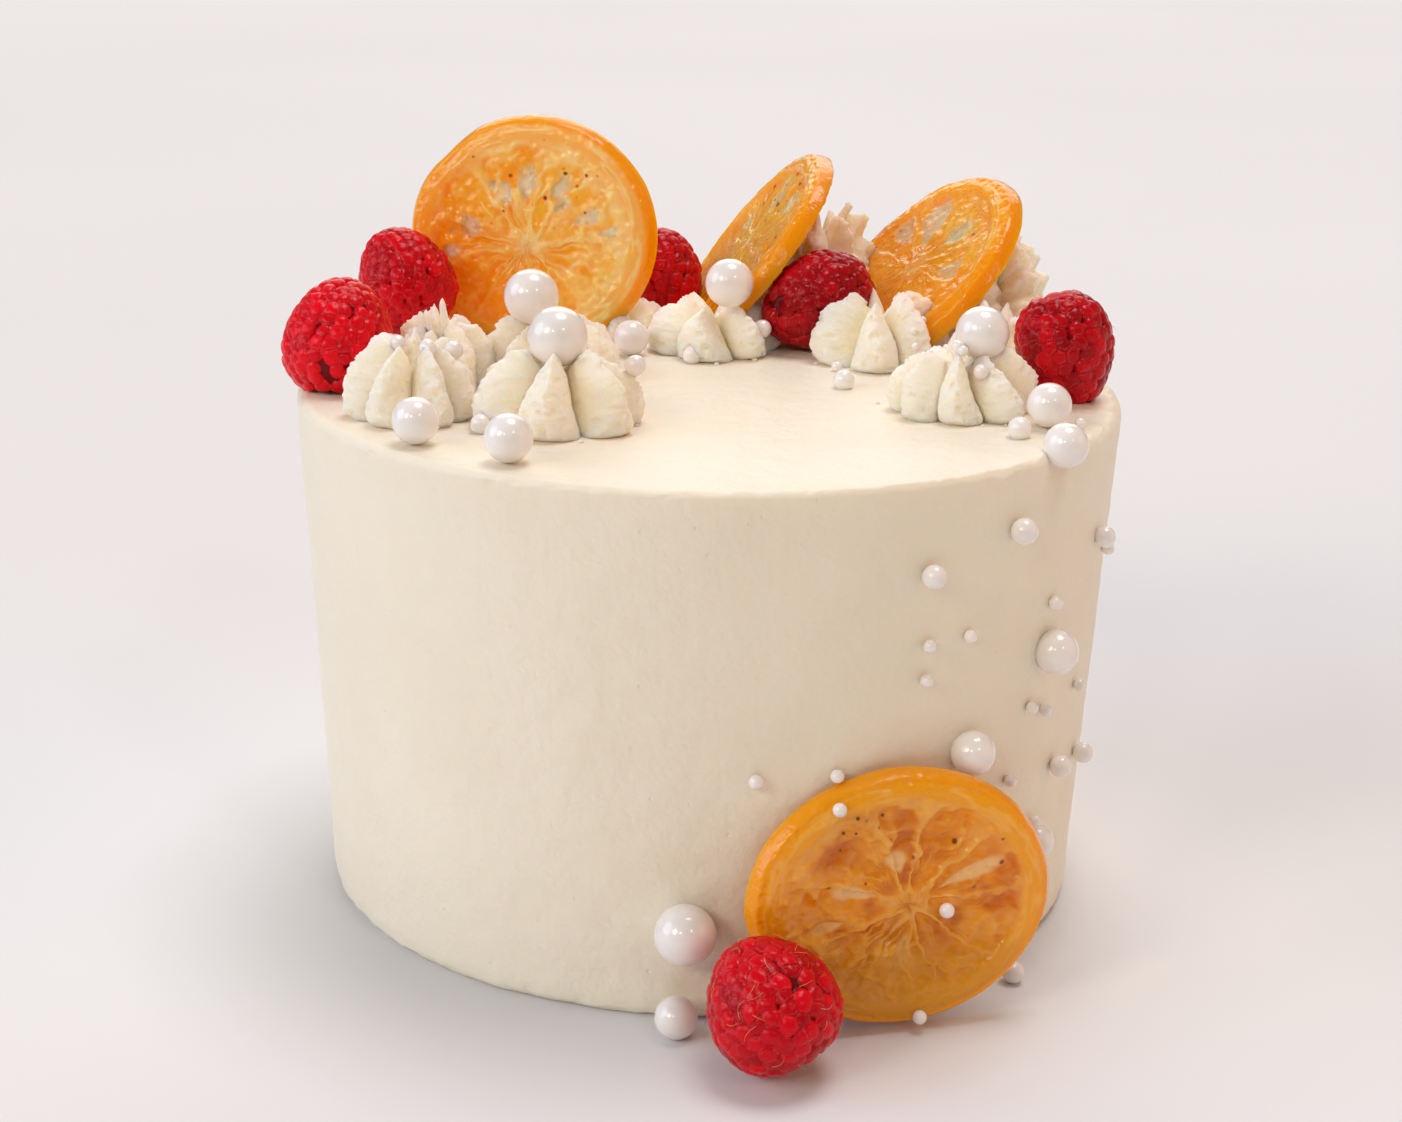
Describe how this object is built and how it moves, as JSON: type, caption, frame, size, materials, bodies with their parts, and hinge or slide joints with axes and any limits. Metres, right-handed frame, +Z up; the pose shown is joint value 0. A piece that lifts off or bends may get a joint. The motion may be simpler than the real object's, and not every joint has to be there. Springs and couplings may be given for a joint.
{
  "type": "frosted layer cake",
  "caption": "Round lemon raspberry cake under smooth pale frosting, dressed with piped cream swirls, raspberries, candied citrus slices and sugar pearls.",
  "frame": {"origin": "middle of the cake's flat underside", "axes": "+Z up, the dressed front faces -Y, +X to the right seen from the front"},
  "size_m": [0.1726, 0.1971, 0.1538],
  "materials": {
    "frosting": "smooth pale vanilla buttercream, satin",
    "piped_cream": "piped whipped cream, matt with a soft sheen",
    "raspberry": "glossy ripe raspberry",
    "candied_citrus": "sticky glossy candied orange slice",
    "sugar_pearl": "satin pearl white sugar coating"
  },
  "bodies": {
    "root": {"citrus_back_left": "candied_citrus", "citrus_middle": "candied_citrus", "citrus_right": "candied_citrus", "citrus_foot": "candied_citrus", "raspberry_left_rim": "raspberry", "raspberry_left_back": "raspberry", "raspberry_back": "raspberry", "raspberry_middle": "raspberry", "raspberry_right_rim": "raspberry", "raspberry_foot": "raspberry", "pearl_top_1": "sugar_pearl", "pearl_top_2": "sugar_pearl", "pearl_top_3": "sugar_pearl", "pearl_top_4": "sugar_pearl", "pearl_swirl_1": "sugar_pearl", "pearl_swirl_2": "sugar_pearl", "pearl_swirl_3": "sugar_pearl", "pearl_swirl_4": "sugar_pearl", "pearl_rim": "sugar_pearl", "pearl_side_1": "sugar_pearl", "pearl_side_2": "sugar_pearl", "pearl_side_3": "sugar_pearl", "pearl_side_4": "sugar_pearl", "pearl_foot": "sugar_pearl", "pearl_foot_right": "sugar_pearl", "swirl_front_left": "piped_cream", "swirl_left_back": "piped_cream", "swirl_front": "piped_cream", "swirl_behind_front": "piped_cream", "swirl_middle": "piped_cream", "swirl_right_middle": "piped_cream", "swirl_front_right": "piped_cream", "swirl_right": "piped_cream", "swirl_back_middle": "piped_cream", "swirl_back_right": "piped_cream", "swirl_back_left": "piped_cream", "cake": "frosting"}
  },
  "joints": []
}
